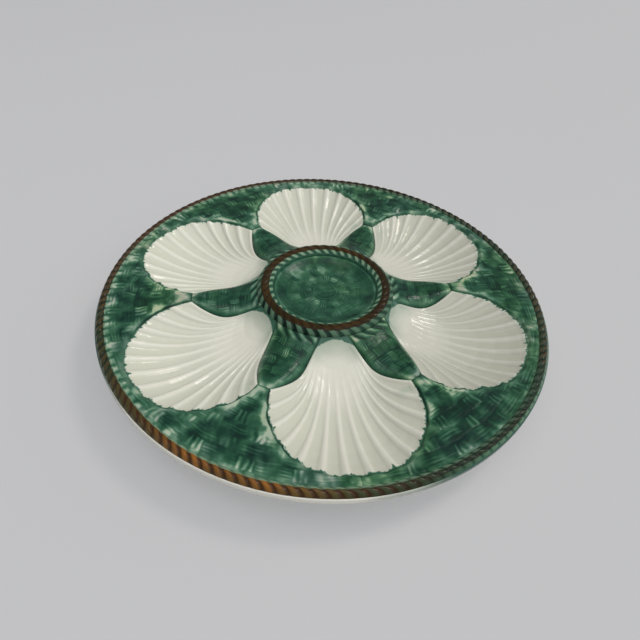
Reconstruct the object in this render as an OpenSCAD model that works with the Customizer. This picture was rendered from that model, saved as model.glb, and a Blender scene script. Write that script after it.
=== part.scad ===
// Oyster plate in moulded, glazed earthenware: six fluted scallop wells round a
// raised centre well, basket-work ground between them, a twisted rope round the
// centre and another round the rim, on a turned foot ring.
// Origin: centre of the foot ring on the table, +Z up. One well points along -Y.

/* [Plate] */
// Diameter over the outer wall of the rim
plate_d = 241; // [215:0.5:280]
// Height of the ground beside the rim rope
ground_h = 23.8; // [22:0.2:28]
// Height of the ground at the necks between two wells
neck_h = 22.8; // [21:0.2:27]
// Height of the outer wall of the rim
wall_h = 3.6; // [2:0.1:5]

/* [Foot] */
// Outer diameter of the foot ring
foot_d = 140; // [115:1:160]
// Width of the foot ring where it stands
foot_w = 4; // [3:0.5:8]
// Height of the foot ring
foot_h = 4; // [3:0.5:6]
// Width of the flat underside outside the foot ring
foot_land = 4; // [1:0.5:8]

/* [Shell wells] */
// Ground left between the outer edge of a well and the rope round the rim
rim_land = 2.2; // [1:0.1:6]
// Width of the neck of ground between the ears of two wells
neck_w = 6.8; // [3:0.1:12]
// Half angle of the rounded edge of a well, from the tip to an ear
fan_angle = 109.5; // [100:0.5:114]
// Half width of a well where it meets the centre
throat_w = 5.4; // [4:0.1:7]
// Depth of the floor of a well below its outer edge
well_depth = 10.7; // [8:0.1:12]
// Height of the outer edge of a well
edge_h = 23.2; // [22:0.1:26]
// Height of the two ears of a well
ear_h = 22.2; // [21:0.1:25]
// Sag of the two flanks of a well below its ears
flank_sag = 6.5; // [4:0.1:7]
// Number of flutes in a well
flutes = 13; // [9:2:17]
// Depth of a flute at the outer edge
flute_depth = 1.3; // [0.5:0.1:1.8]
// How far the edge swells out at the end of a flute
scallop = 1.2; // [0.4:0.1:1.6]
// How much wider the flutes fan out halfway along a well
flute_spread = 0.5; // [0:0.05:0.7]

/* [Basket lobes] */
// Height of the middle of a lobe
lobe_mid_h = 21.6; // [19:0.1:24]

/* [Centre well] */
// Outer diameter of the boss that carries the centre well
boss_d = 74; // [66:0.5:84]
// Height of the seat for the rope round the centre well
boss_h = 25.6; // [24.6:0.1:27]
// Wall left round the hollow under the centre well
boss_wall = 13; // [8:0.5:20]
// Height of the floor of the centre well
dish_floor_h = 22.8; // [21:0.1:23.4]
// Width of the ledge round the sunk middle of the centre well
ledge_w = 6; // [2:0.1:12]
// Wall left over the hollow under the centre well
dish_wall = 9; // [7:0.5:12]
// Clearance between the boss and what surrounds it
boss_gap = 0.3; // [0.2:0.05:0.5]
// Clearance between the rope's seat and the wells and lobes that start below it
root_drop = 0.4; // [0.2:0.1:2]

/* [Ropes] */
// Width of the rope round the centre well
well_rope_w = 9.2; // [7:0.1:11]
// How far that rope stands out over the edge of the boss
rope_overhang = 0.6; // [0:0.1:1.2]
// Height of the rope round the centre well
well_rope_h = 3; // [2.4:0.1:5]
// Number of strands in the rope round the centre well
well_strands = 39; // [24:1:48]
// Width of the rope round the rim
rim_rope_w = 6; // [4:0.1:8]
// Height of the rope round the rim
rim_rope_h = 2.6; // [2:0.1:4]
// Number of strands in the rope round the rim
rim_strands = 144; // [90:1:160]
// Depth of the groove between two strands
strand_groove = 0.7; // [0.3:0.1:1]
// Width of the bare wall outside the rope round the rim
rim_margin = 0.5; // [0.3:0.1:1.5]

/* [Hidden] */
wells = 6;
well_turn = 360 / wells;
first_well = -90;
shell_white = [0.86, 0.85, 0.80];
ground_green = [0.16, 0.40, 0.30];
rope_brown = [0.33, 0.20, 0.11];
foot_cream = [0.80, 0.77, 0.68];
// Overrun of every cut
overrun = 1;
// Depth of the seat of the rim rope below the ground
rim_seat_drop = 0.8;
// Clearance between the rim rope and the step beside it
rim_seat_gap = 0.3;
// Rounding at the top and bottom of the outer wall of the rim
wall_round = 0.6;
// How far the underside stays inside the outer wall of the rim
under_in = 4.2;
// Extra width of the foot ring where it joins the plate
foot_flare = 2.4;
// Steps of one flute across a well
flute_steps = 4;
// Rows of a well from the centre to its outer edge
rows = 8;
// Steps across a lobe
lobe_steps = 10;
// Facets of a turned surface
turn_fn = 180;
// Lengthwise steps of a strand and facets over its top, for the two ropes
well_strand_steps = 4;
well_strand_facets = 6;
rim_strand_steps = 2;
rim_strand_facets = 4;

// Height profile along the middle of a well: share of the way out, share of the depth
floor_shares = [[0, 0], [0.04, 0.24], [0.10, 0.52], [0.18, 0.76], [0.28, 0.91],
    [0.38, 0.98], [0.48, 1], [0.58, 0.965], [0.69, 0.85], [0.80, 0.63], [0.90, 0.34],
    [0.96, 0.12], [1, 0]];
// Share of the way out at which a well is deepest
floor_out_share = 0.48;
// Shares of a flank's reach out and of its ear's half width that its two guide points take
flank_out_shares = [0.51, 0.665];
flank_side_shares = [0.53, 0.45];
// Shares of the way out that the guide points of the middle line take
middle_out_shares = [0.33, 0.67];
// Shares of the way out where the flutes start and where they are at full depth
flute_out_shares = [0.15, 0.70];
// Share of the even spacing in the rows of a well; the rest draws them to both ends
row_even_share = 0.5;
// Share of a flute line's swell at the outer edge that its last guide point takes
swell_share = 0.5;
// Shares of the way in and of the depth of the ledge inside the centre well
ledge_in_share = 0.5;
ledge_depth_shares = [0.65, 0.9];
// Share of the hollow's radius that its top takes
hollow_top_share = 0.8;
// Share of the hollow's height at which its side turns
hollow_mid_share = 0.4;
// Share of the wall over the hollow that the flare of its mouth takes
hollow_flare_share = 0.25;
// Share of the way along a lobe of the middle of its underside
lobe_hub_share = 0.4;
// Share of a rope's width by which its strands slant to each side, for the two ropes
well_slant_share = 0.5;
rim_slant_share = 0.25;
// Exponents that shape the curves: roundness of a scallop, fade of the scallops and
// of the flutes to the ears, bowl across a well, sag of a flank, crown of a lobe
scallop_power = 0.6;
scallop_fade = 8;
flute_fade = 12;
bowl_power = 2.4;
sag_power = 0.8;
crown_power = 4;

plate_r = plate_d / 2;
foot_r = foot_d / 2;
flat_r = foot_r + foot_land;
boss_r = boss_d / 2;
dish_r = boss_r + rope_overhang - well_rope_w;
dish_mid_r = dish_r - ledge_w;
hollow_r = boss_r - boss_wall;
dish_depth = boss_h - dish_floor_h;
inner_r = boss_r + boss_gap;
root_h = boss_h - root_drop;
floor_h = edge_h - well_depth;
columns = flutes * flute_steps;
rim_seat_h = ground_h - rim_seat_drop;
rim_rope_out = plate_r - rim_margin;
rim_rope_in = rim_rope_out - rim_rope_w;
step_r = rim_rope_in - rim_seat_gap;
reach = step_r - rim_land;
// Radius of the rounded outer edge at which the ears of two wells leave the neck free
fan_r = (reach * sin(well_turn / 2) - neck_w / 2)
    / ((1 - cos(fan_angle)) * sin(well_turn / 2) + sin(fan_angle) * cos(well_turn / 2));
fan_u = reach - fan_r;
wall_low_h = rim_seat_h - wall_h;
under_r = plate_r - under_in;
under_h = wall_low_h - wall_round;
under_slope = (under_h - foot_h) / (under_r - flat_r);
row_shares = [for (i = [0 : rows]) mix((1 - cos(180 * i / rows)) / 2, i / rows, row_even_share)];

function mix(a, b, t) = a + (b - a) * t;
function ease(t) = t <= 0 ? 0 : t >= 1 ? 1 : t * t * (3 - 2 * t);
function cubic(a, b, c, d, t) = a * pow(1 - t, 3) + b * 3 * t * pow(1 - t, 2)
    + c * 3 * t * t * (1 - t) + d * pow(t, 3);

// Turns a point [out, side, height] of well k into plate coordinates
function placed(k, p) = let (a = first_well + k * well_turn)
    [p[0] * cos(a) - p[1] * sin(a), p[0] * sin(a) + p[1] * cos(a), p[2]];

// 0 on a ridge, 1 in the middle of a flute
function trough(s) = abs(sin(180 * flutes * (s + 1) / 2));

// Where line s of a well ends on its scalloped outer edge, s from -1 to 1, with the
// scallop of flute line f
function fan_point(s, f) =
    let (inside = scallop * (1 - pow(trough(f), scallop_power)) * (1 - pow(f, scallop_fade)),
         r = fan_r - inside,
         a = s * fan_angle)
    [fan_u + r * cos(a), r * sin(a)];
ear = fan_point(1, 1);
neck_r = norm(ear);
throat_angle = asin(throat_w / inner_r);

// Plan of line s of a well at share t of its way from the centre to the outer edge
function line_plan(s, f, t) =
    let (p0 = [inner_r * cos(s * throat_angle), inner_r * sin(s * throat_angle)],
         p3 = fan_point(s, f),
         span = ear[0] - inner_r,
         m1 = mix(inner_r, reach, middle_out_shares[0]),
         m2 = mix(inner_r, reach, middle_out_shares[1]),
         f1 = [inner_r + span * flank_out_shares[0], ear[1] * flank_side_shares[0]],
         f2 = [inner_r + span * flank_out_shares[1], ear[1] * flank_side_shares[1]],
         w = s * s,
         p1 = [mix(m1, f1[0], w), f1[1] * s],
         p2 = [mix(m2, f2[0], w), f2[1] * s + (p3[1] - s * ear[1]) * (1 - w) * swell_share])
    cubic(p0, p1, p2, p3, t);

// Line of a well that flute line f has reached at share t: the flutes fan out faster
// than the plan's own lines
function spread(f, t) = f * (1 + flute_spread * (1 - t) * (1 - f * f));
function well_plan(f, t) = line_plan(spread(f, t), f, t);

// Height along the middle and along a flank
function middle_h(t) =
    mix(t < floor_out_share ? root_h : edge_h, floor_h, lookup(t, floor_shares));
function flank_h(t) = mix(root_h, ear_h, t) - flank_sag * pow(sin(180 * t), sag_power);

// Height of the well's surface on flute line f, with its flutes sunk between the ridges
function well_h(f, t) =
    let (a = pow(abs(spread(f, t)), bowl_power),
         start = flute_out_shares[0],
         full = flute_out_shares[1],
         sunk = ease((t - start) / (full - start)) * (1 - pow(f, flute_fade)))
    mix(middle_h(t), flank_h(t), a) - flute_depth * trough(f) * sunk;

// Height of the underside at a distance from the axis
function under_at(r) = foot_h + max(0, r - flat_r) * under_slope;
function under(p) = under_at(norm([p[0], p[1]]));

// Joins two rows of points with triangles
function strip(a, b, n) = [for (i = [0 : n - 1]) each [[a + i, a + i + 1, b + i + 1],
    [a + i, b + i + 1, b + i]]];

// Boundary of a grid with n columns and m rows, in order round it
function grid_edge(n, m) = concat(
    [for (i = [0 : n]) i],
    [for (j = [1 : m]) j * (n + 1) + n],
    [for (i = [n - 1 : -1 : 0]) m * (n + 1) + i],
    [for (j = [m - 1 : -1 : 1]) j * (n + 1)]);

// Closed solid under a grid of points: walls straight down, and a fan of facets below
module relief_solid(grid, n, m, low, hub) {
    edge = grid_edge(n, m);
    count = len(edge);
    top = len(grid);
    points = concat(grid, [for (e = edge) [grid[e][0], grid[e][1], low[e]]], [hub]);
    faces = concat(
        [for (j = [0 : m - 1]) each strip(j * (n + 1), (j + 1) * (n + 1), n)],
        [for (i = [0 : count - 1]) let (k = (i + 1) % count)
            each [[edge[i], top + i, top + k], [edge[i], top + k, edge[k]]]],
        [for (i = [0 : count - 1]) let (k = (i + 1) % count) [top + k, top + i, top + count]]);
    polyhedron(points, faces);
}

// Scallop well k: a grid of flute lines across and rows outward
module shell_well(k) {
    grid = [for (j = [0 : rows]) for (i = [0 : columns])
        let (s = 2 * i / columns - 1, t = row_shares[j], p = well_plan(s, t))
        placed(k, [p[0], p[1], well_h(s, t)])];
    low = [for (p = grid) under(p)];
    color(shell_white)
        relief_solid(grid, columns, rows, low, placed(k, [flat_r, 0, foot_h]));
}

// Crown of a lobe: 0 on its two seams, 1 over its flat middle
function crown(w) = 1 - pow(abs(2 * w - 1), crown_power);

// Lobe k lies between wells k and k + 1, with its seams on their flanks
module basket_lobe(k) {
    grid = [for (j = [0 : rows]) for (i = [0 : lobe_steps])
        let (t = row_shares[j], w = i / lobe_steps,
             a = well_plan(1, t), b = well_plan(-1, t),
             pa = placed(k, [a[0], a[1], 0]), pb = placed(k + 1, [b[0], b[1], 0]),
             r = norm([a[0], a[1]]),
             mid = first_well + (k + 0.5) * well_turn,
             half = well_turn / 2 - atan2(a[1], a[0]),
             turn = mid + half * (2 * w - 1),
             p = j == rows || i == 0 || i == lobe_steps ? mix(pa, pb, w)
                 : [r * cos(turn), r * sin(turn), 0],
             ends = mix(root_h, ear_h, t),
             h = mix(ends, lobe_mid_h, sin(180 * t)))
        [p[0], p[1], mix(flank_h(t), h, crown(w))]];
    low = [for (p = grid) under(p)];
    mid = first_well + (k + 0.5) * well_turn;
    hub_r = mix(inner_r, neck_r, lobe_hub_share);
    color(ground_green)
        relief_solid(grid, lobe_steps, rows, low, [hub_r * cos(mid), hub_r * sin(mid), foot_h]);
}

// Outline round the wells and lobes, which the ground meets
relief_outline = [for (k = [0 : wells - 1]) for (i = [0 : columns])
    let (s = 2 * i / columns - 1, p = fan_point(s, s), q = placed(k, [p[0], p[1], 0]))
    [q[0], q[1]]];

// Basket ground: a turned flange from the necks to the outer wall of the rim,
// open where the wells and lobes are
module woven_ground() {
    in_r = min(neck_r, flat_r) - overrun;
    profile = [
        [in_r, foot_h],
        [flat_r, foot_h],
        [under_r, under_h],
        [plate_r - wall_round, wall_low_h],
        [plate_r, wall_low_h + wall_round],
        [plate_r, rim_seat_h - wall_round],
        [plate_r - wall_round, rim_seat_h],
        [step_r, rim_seat_h],
        [step_r, ground_h],
        [neck_r, neck_h],
        [in_r, neck_h]];
    color(ground_green)
        difference() {
            rotate_extrude($fn = turn_fn) polygon(profile);
            translate([0, 0, -overrun])
                linear_extrude(ground_h + 2 * overrun) polygon(relief_outline);
        }
}

// Centre well: a boss with a sunk dish in its top and a hollow under it
module centre_well() {
    hollow_h = dish_floor_h - dish_wall;
    flare = dish_wall * hollow_flare_share;
    profile = [
        [0, hollow_h],
        [hollow_r * hollow_top_share, hollow_h],
        [hollow_r, mix(foot_h, hollow_h, hollow_mid_share)],
        [hollow_r + flare, foot_h],
        [boss_r, foot_h],
        [boss_r, boss_h],
        [dish_r, boss_h],
        [mix(dish_r, dish_mid_r, ledge_in_share), boss_h - dish_depth * ledge_depth_shares[0]],
        [dish_mid_r, boss_h - dish_depth * ledge_depth_shares[1]],
        [dish_mid_r - dish_depth, dish_floor_h],
        [0, dish_floor_h]];
    color(ground_green) rotate_extrude($fn = turn_fn) polygon(profile);
}

// Twisted rope lying on a seat: strands slant outward as they go round
module rope(r_in, width, height, seat_h, strands, slant_share, steps, ring) {
    count = strands * steps;
    mid_r = r_in + width / 2;
    slant = width / mid_r * 180 / PI;
    points = [for (j = [0 : count - 1]) for (q = [0 : ring])
        let (a = 180 - 180 * q / ring, dip = strand_groove * abs(sin(180 * j / steps)),
             rise = sin(a), x = cos(a),
             r = mid_r + x * (width / 2 - dip * rise * abs(x)),
             turn = 360 * j / count + slant * x * slant_share)
        [r * cos(turn), r * sin(turn), seat_h + rise * (height - dip)]];
    faces = [for (j = [0 : count - 1]) for (q = [0 : ring])
        let (a = j * (ring + 1), b = ((j + 1) % count) * (ring + 1), n = (q + 1) % (ring + 1))
        each [[a + q, a + n, b + n], [a + q, b + n, b + q]]];
    polyhedron(points, faces);
}

module well_rope() {
    color(rope_brown)
        rope(dish_r, well_rope_w, well_rope_h, boss_h, well_strands, well_slant_share,
            well_strand_steps, well_strand_facets);
}

module rim_rope() {
    color(rope_brown)
        rope(rim_rope_in, rim_rope_w, rim_rope_h, rim_seat_h, rim_strands, rim_slant_share,
            rim_strand_steps, rim_strand_facets);
}

// Turned foot ring under the flat middle of the plate
module foot_ring() {
    top_w = foot_w + foot_flare;
    flare = foot_flare / 2;
    profile = [
        [foot_r - top_w, foot_h],
        [foot_r - top_w + flare, 0],
        [foot_r - flare, 0],
        [foot_r, foot_h]];
    color(foot_cream) rotate_extrude($fn = turn_fn) polygon(profile);
}

woven_ground();
shell_well(0);  // shell_well_1
shell_well(1);  // shell_well_2
shell_well(2);  // shell_well_3
shell_well(3);  // shell_well_4
shell_well(4);  // shell_well_5
shell_well(5);  // shell_well_6
basket_lobe(0);  // basket_lobe_1
basket_lobe(1);  // basket_lobe_2
basket_lobe(2);  // basket_lobe_3
basket_lobe(3);  // basket_lobe_4
basket_lobe(4);  // basket_lobe_5
basket_lobe(5);  // basket_lobe_6
centre_well();
well_rope();
rim_rope();
foot_ring();
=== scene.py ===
"""Oyster plate in moulded, glazed earthenware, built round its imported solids.

Sizes are in millimetres until a mesh is made. A place on a well is given by its flute
line, from -1 to 1 across, and its share of the way out, 0 to 1.
"""

import math

import bpy
import numpy as np
from mathutils import Matrix, Vector


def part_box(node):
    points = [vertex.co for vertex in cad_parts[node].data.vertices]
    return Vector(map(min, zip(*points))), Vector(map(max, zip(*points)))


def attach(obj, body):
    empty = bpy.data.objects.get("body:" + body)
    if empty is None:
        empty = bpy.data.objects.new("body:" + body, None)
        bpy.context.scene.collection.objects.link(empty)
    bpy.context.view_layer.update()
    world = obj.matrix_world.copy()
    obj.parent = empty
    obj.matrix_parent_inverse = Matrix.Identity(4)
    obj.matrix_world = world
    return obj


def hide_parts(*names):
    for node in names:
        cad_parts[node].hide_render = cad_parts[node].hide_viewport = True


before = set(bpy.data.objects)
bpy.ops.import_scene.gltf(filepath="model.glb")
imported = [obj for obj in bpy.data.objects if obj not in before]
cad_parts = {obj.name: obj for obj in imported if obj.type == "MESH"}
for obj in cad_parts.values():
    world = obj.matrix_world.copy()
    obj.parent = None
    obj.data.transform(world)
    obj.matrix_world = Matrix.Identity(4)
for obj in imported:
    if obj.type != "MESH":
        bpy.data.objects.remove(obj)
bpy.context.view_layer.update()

MM = 0.001


# Sizes read from the frame

def low(node):
    """The lowest corner of a node's box."""
    return np.array(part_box(node)[0]) / MM


def high(node):
    """The highest corner of a node's box."""
    return np.array(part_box(node)[1]) / MM


PLATE_R = high("woven_ground")[0]
GROUND_H = high("woven_ground")[2]
RIM_SEAT_H = low("rim_rope")[2]
RIM_ROPE_OUT = high("rim_rope")[0]
RIM_ROPE_TOP = high("rim_rope")[2]
WELL_ROPE_OUT = high("well_rope")[0]
WELL_ROPE_SEAT = low("well_rope")[2]
WELL_ROPE_TOP = high("well_rope")[2]
BOSS_R = high("centre_well")[0]
REACH = -low("shell_well_1")[1]
FOOT_R = high("foot_ring")[0]
FOOT_H = high("foot_ring")[2]

# Sizes shared with the part's source, with angles in degrees
WELLS = 6
WELL_TURN = 360 / WELLS
FIRST_WELL = -90
NECK_H = 22.8
NECK_W = 6.8
FAN_ANGLE = 109.5
WELL_DEPTH = 10.7
EDGE_H = 23.2
EAR_H = 22.2
FLANK_SAG = 6.5
FLUTES = 13
FLUTE_RELIEF = 1.25
FLUTE_SPREAD = 0.5
LOBE_MID_H = 21.6
ROOT_H = WELL_ROPE_SEAT - 0.4
INNER_R = BOSS_R + 0.3
WELL_ROPE_W = 9.2
LEDGE_W = 6.0
DISH_FLOOR_H = 22.8
WELL_STRANDS = 39
RIM_STRANDS = 144
FLOOR_SHARES = np.array([[0, 0], [0.04, 0.24], [0.10, 0.52], [0.18, 0.76], [0.28, 0.91],
                         [0.38, 0.98], [0.48, 1], [0.58, 0.965], [0.69, 0.85], [0.80, 0.63],
                         [0.90, 0.34], [0.96, 0.12], [1, 0]])
FLOOR_OUT_SHARE = 0.48
FLANK_OUT_SHARES = (0.51, 0.665)
FLANK_SIDE_SHARES = (0.53, 0.45)
MIDDLE_OUT_SHARES = (0.33, 0.67)

# The glaze rounds the scallops of the edge, fills the flutes toward the neck, widens the
# throats and covers the inner foot of the rim rope
SCALLOP = 0.6
THROAT_W = 6.6
FLUTE_OUT_SHARES = (0.12, 1.02)
RIM_ROPE_SHOWN_W = 5.0

# How far the hand-finished outer edge of each well strays, from its right ear to its left,
# at STRAY_AT of the way from its axis to an ear
STRAY_AT = np.linspace(-0.9, 0.9, 10)
STRAY = ((-0.5, -0.1, 0.2, 0.5, -0.8, -0.7, 1.4, 1.1, 1.1, 0.0),
         (0.1, 0.4, -1.6, -0.6, -1.3, -1.2, 1.4, 0.4, 0.6, -0.4),
         (0.0, 0.2, 0.4, 0.5, -0.5, 0.5, 2.0, 1.4, 1.4, -0.2),
         (-0.1, 0.5, 0.0, 1.6, -0.7, 0.1, 1.6, 0.9, 0.2, 0.2),
         (-1.8, -1.8, -1.4, -0.9, -1.8, -0.1, 2.0, 1.5, 1.3, -0.4),
         (0.6, 0.2, 0.2, 1.0, 0.1, -0.3, 0.9, 0.8, 0.3, 0.3))

# Where the green glaze ran thin or pooled on each panel of ground: the turn from the
# panel's axis, the radius and the strength of its palest patch, then the strength of the
# pools along its two edges
PALE_TURN = (4.4, 4.5, 6.5, 8.8, 5.2, 8.0)
PALE_R = (88.0, 91.0, 96.0, 98.5, 91.5, 98.0)
PALE_SHARE = (0.62, 0.30, 0.22, 0.34, 0.26, 0.62)
POOL_LEFT = (0.65, 0.4, 0.3, 0.3, 0.5, 0.75)
POOL_RIGHT = (1.0, 0.6, 0.6, 0.5, 0.9, 1.0)

# Painted light and shade: how much lighter the white is painted on each well, darker on the wells at
# the right; and how thin the green lies on each panel
WELL_PAINTED_LIGHT = (0.72, 0.0, 0.20, 0.77, 1.0, 0.90)
PANEL_THIN = (0.53, 0.65, 0.62, 0.63, 0.67, 0.66)

# Patches of thin glaze in the dish: turn, distance out, size and strength
DISH_PALE = ((130.8, 21.0, 5.8, 0.46), (88.7, 19.0, 4.6, 0.36), (108.0, 22.0, 3.4, 0.22),
             (27.8, 17.7, 4.2, 0.20), (53.6, 11.2, 3.4, 0.22), (-122.0, 10.3, 2.6, 0.22),
             (-67.0, 12.4, 3.0, 0.20), (95.0, 26.5, 3.0, 0.24), (142.0, 24.8, 4.6, 0.26),
             (60.0, 24.5, 3.4, 0.12), (118.0, 12.0, 3.2, 0.20))

# Heights and depths of the relief that only the scene has
GROUND_WEAVE_H = 0.14
LOBE_WEAVE_H = 0.11
DISH_WEAVE_H = 0.30
GROUND_SWELL_H = 0.14
WELL_SWELL_H = 0.12
BEAD_H = 0.22
LIP_H = 0.22
LIP_GROOVE_H = 0.30
LOBE_GROOVE_H = 0.28
NECK_GROOVE_H = 0.45
TAIL_STRAND_H = 0.7

# The outer wall and the underside
WALL_H = 3.6
UNDER_INSET = 4.2
UNDER_RISE = 0.6
FOOT_CLEAR = 4.0

# Worked out from them, with angles in radians
WALL_LOW_H = RIM_SEAT_H - WALL_H
UNDER_R = PLATE_R - UNDER_INSET
FLOOR_H = EDGE_H - WELL_DEPTH
STEP_R = RIM_ROPE_OUT - RIM_ROPE_SHOWN_W + 0.5
DISH_R = WELL_ROPE_OUT - WELL_ROPE_W
DISH_MID_R = DISH_R - LEDGE_W
HALF_TURN = math.radians(WELL_TURN / 2)
FAN_SWEEP = math.radians(FAN_ANGLE)
FAN_R = ((REACH * math.sin(HALF_TURN) - NECK_W / 2)
         / ((1 - math.cos(FAN_SWEEP)) * math.sin(HALF_TURN)
            + math.sin(FAN_SWEEP) * math.cos(HALF_TURN)))
FAN_U = REACH - FAN_R
THROAT_ANGLE = math.asin(THROAT_W / INNER_R)

# Turn in degrees from the middle of a strand of the rim rope to its inner end
RIM_LEAN = math.degrees(RIM_ROPE_SHOWN_W / (2 * RIM_ROPE_OUT - RIM_ROPE_SHOWN_W))

# Basket weave: on the ground, counted outward from the necks with stakes a turn in
# degrees apart, and on the lobes
ROW_START = 74.5
ROW_PITCH = 6.75
STAKE_TURN = 12.0
STAKE_SHARE = 0.15
LOBE_ROW_START = 40.2
LOBE_ROW_PITCH = 6.2
LOBE_STAKE_PITCH = 9.0

# Weave of the dish: rings round a hub, with fine lines outside them
DISH_RING_START = 7.0
DISH_RING_PITCH = 7.0
DISH_RING_STAKES = 8
DISH_LINES_START = 21.2
DISH_LINE_PITCH = 1.7
HUB_STAKE_PITCH = 5.2
HUB_ROW_PITCH = 3.4


# Shapes shared by all pieces

def mix(a, b, t):
    return a + (b - a) * t


def ease(t):
    """From 0 to 1 and level at both ends."""
    t = np.clip(t, 0, 1)
    return t * t * (3 - 2 * t)


def bump(d, width):
    """1 at no distance, and soon 0 past the width."""
    return np.exp(-(d / width) ** 2)


def turned(u, v, angle):
    """A place turned round the plate's axis by an angle in radians."""
    return u * math.cos(angle) - v * math.sin(angle), u * math.sin(angle) + v * math.cos(angle)


def cubic(a, b, c, d, t):
    """Place at t, from 0 to 1, on the curve from a to d drawn toward b and c."""
    return a * (1 - t) ** 3 + b * 3 * t * (1 - t) ** 2 + c * 3 * t * t * (1 - t) + d * t ** 3


def wander(x, seed, waves=(1, 2, 3, 5, 8)):
    """A smooth irregular line: sines of x with seeded phases, about -1 to 1."""
    phases = np.random.default_rng(seed).uniform(0, 2 * math.pi, len(waves))
    total = sum(np.sin(n * x + p) / math.sqrt(n) for n, p in zip(waves, phases))
    return total / sum(1 / math.sqrt(n) for n in waves)


def ripple(x, y, seed, size):
    """Smooth irregular patches of about the size given, about -1 to 1."""
    picks = np.random.default_rng(seed)
    total = 0
    for stretch in (1.0, 0.8, 0.62, 0.5, 0.38):
        for turn in picks.uniform(0, math.pi, 3):
            phase = picks.uniform(0, 2 * math.pi)
            total = total + stretch * np.sin(
                (x * math.cos(turn) + y * math.sin(turn)) * math.pi / (size * stretch) + phase)
    return total / 3.4


def from_line(x, y, line_x, line_y):
    """Distance of each place from the nearest point of a line."""
    nearest = np.full(np.shape(x), 1e9)
    for a, b in zip(line_x, line_y):
        nearest = np.minimum(nearest, (x - a) ** 2 + (y - b) ** 2)
    return np.sqrt(nearest)


def trough(f):
    """0 on the narrow rounded ridge between two flutes, 1 in the middle of a flute."""
    x = FLUTES * (f + 1) / 2
    aside = np.abs(x - np.round(x))
    return 0.8 * ease((aside - 0.02) / 0.29) + 0.2 * np.sin(math.pi * aside) ** 2


def scallop(f):
    """How far the edge of a well draws in toward the end of each ridge, 0 to 1."""
    return (1 - np.abs(np.sin(math.pi * FLUTES * (f + 1) / 2)) ** 0.8) * (1 - f ** 8)


def spread(f, t):
    """Where a flute line runs: even at the edge, and fuller to the sides at the throat."""
    return f * (1 + FLUTE_SPREAD * (1 - t) * (1 - f * f))


def edge_wander(k, f):
    """How far the hand-finished edge of well k strays from its scallops."""
    stray = sum(np.interp(f + d, STRAY_AT, STRAY[k]) for d in (-0.08, -0.04, 0.0, 0.04, 0.08)) / 5
    return (stray + 0.35 * wander(4.1 * f, 40 + k, (3, 5, 7, 11, 16))) * (1 - f ** 8)


def edge_inside(k, f):
    """How far the edge of well k lies inside its plain round fan."""
    return SCALLOP * scallop(f) * (1 + 0.35 * wander(9 * f, 50 + k)) - edge_wander(k, f)


def fan_point(k, s, f):
    """Plan of the edge of well k: the end of flute line f, s of the way to its ear."""
    r = FAN_R - edge_inside(k, f)
    a = s * FAN_SWEEP
    return FAN_U + r * np.cos(a), r * np.sin(a)


EAR_U = FAN_U + FAN_R * math.cos(FAN_SWEEP)
EAR_V = FAN_R * math.sin(FAN_SWEEP)
NECK_R = math.hypot(EAR_U, EAR_V)


def well_plan(k, f, t):
    """Plan of flute line f of well k: distance out along its axis, and to the side."""
    s = spread(f, t)
    end_u, end_v = fan_point(k, s, f)
    middle_near, middle_far = (mix(INNER_R, REACH, share) for share in MIDDLE_OUT_SHARES)
    flank_near, flank_far = (INNER_R + (EAR_U - INNER_R) * share for share in FLANK_OUT_SHARES)
    side_near, side_far = (EAR_V * share for share in FLANK_SIDE_SHARES)
    w = s * s
    near_u, far_u = mix(middle_near, flank_near, w), mix(middle_far, flank_far, w)
    far_v = side_far * s + (end_v - s * EAR_V) * (1 - w) * 0.5
    u = cubic(INNER_R * np.cos(s * THROAT_ANGLE), near_u, far_u, end_u, t)
    v = cubic(INNER_R * np.sin(s * THROAT_ANGLE), side_near * s, far_v, end_v, t)
    return u, v


def middle_h(t):
    """Height of a well's floor along its axis."""
    end = np.where(t < FLOOR_OUT_SHARE, ROOT_H, EDGE_H)
    return mix(end, FLOOR_H, np.interp(t, FLOOR_SHARES[:, 0], FLOOR_SHARES[:, 1]))


def flank_h(t):
    """Height of a well's side from its throat to its ear."""
    return mix(ROOT_H, EAR_H, t) - FLANK_SAG * np.maximum(0, np.sin(math.pi * t)) ** 0.8


def well_h(f, t, from_edge):
    """Height of a well's glaze; the flutes are shallower at the throat, ears and edge."""
    bowl = mix(middle_h(t), flank_h(t), np.abs(spread(f, t)) ** 2.4)
    start, full = FLUTE_OUT_SHARES
    sunk = ease((t - start) / (full - start)) * (1 - f ** 12) * (1 - 0.45 * bump(from_edge, 1.0))
    return bowl - FLUTE_RELIEF * trough(f) * sunk


def placed(k, u, v):
    """Turns a place on well k, or on lobe k for halves, into plate coordinates."""
    return turned(u, v, math.radians(FIRST_WELL + k * WELL_TURN))


def under_h(r):
    """Height just inside the skin of the underside."""
    slope = (WALL_LOW_H - UNDER_RISE - FOOT_H) / (UNDER_R - FOOT_R - FOOT_CLEAR)
    return FOOT_H + UNDER_RISE + np.maximum(0, r - FOOT_R - FOOT_CLEAR) * slope


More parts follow.
